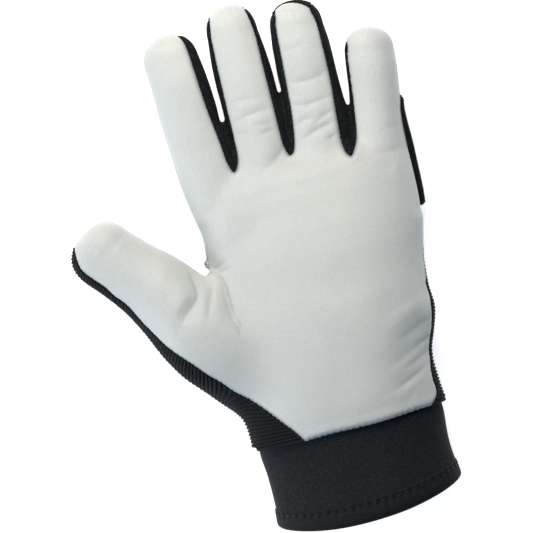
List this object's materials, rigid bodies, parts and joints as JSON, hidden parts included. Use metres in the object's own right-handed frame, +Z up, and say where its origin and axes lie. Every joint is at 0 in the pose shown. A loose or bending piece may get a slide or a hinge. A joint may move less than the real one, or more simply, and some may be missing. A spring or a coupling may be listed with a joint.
{
  "type": "mechanic glove",
  "caption": "Left-hand work glove with a pale leather palm, ribbed knit back, padded knuckle band and short black cuff with a taped hem, lying palm up.",
  "frame": {"origin": "centre of the bounding box at the height of the surface that the glove lies on", "axes": "+Z up out of the palm, +Y towards the fingertips, -X towards the thumb"},
  "size_m": [0.1758, 0.2556, 0.0503],
  "materials": {
    "goat_leather": "soft grained leather",
    "ribbed_knit": "matt ribbed stretch knit",
    "smooth_knit": "matt smooth knit",
    "padded_weave": "matt fine weave over padding",
    "foam_backed_fabric": "soft matt foam-backed fabric",
    "hem_tape": "folded woven tape"
  },
  "bodies": {
    "root": {"palm_leather": "goat_leather", "back_panel": "ribbed_knit", "fourchette_index_middle": "smooth_knit", "fourchette_middle_ring": "smooth_knit", "fourchette_ring_little": "smooth_knit", "knuckle_band": "padded_weave", "cuff": "foam_backed_fabric", "hem_binding": "hem_tape"}
  },
  "joints": []
}
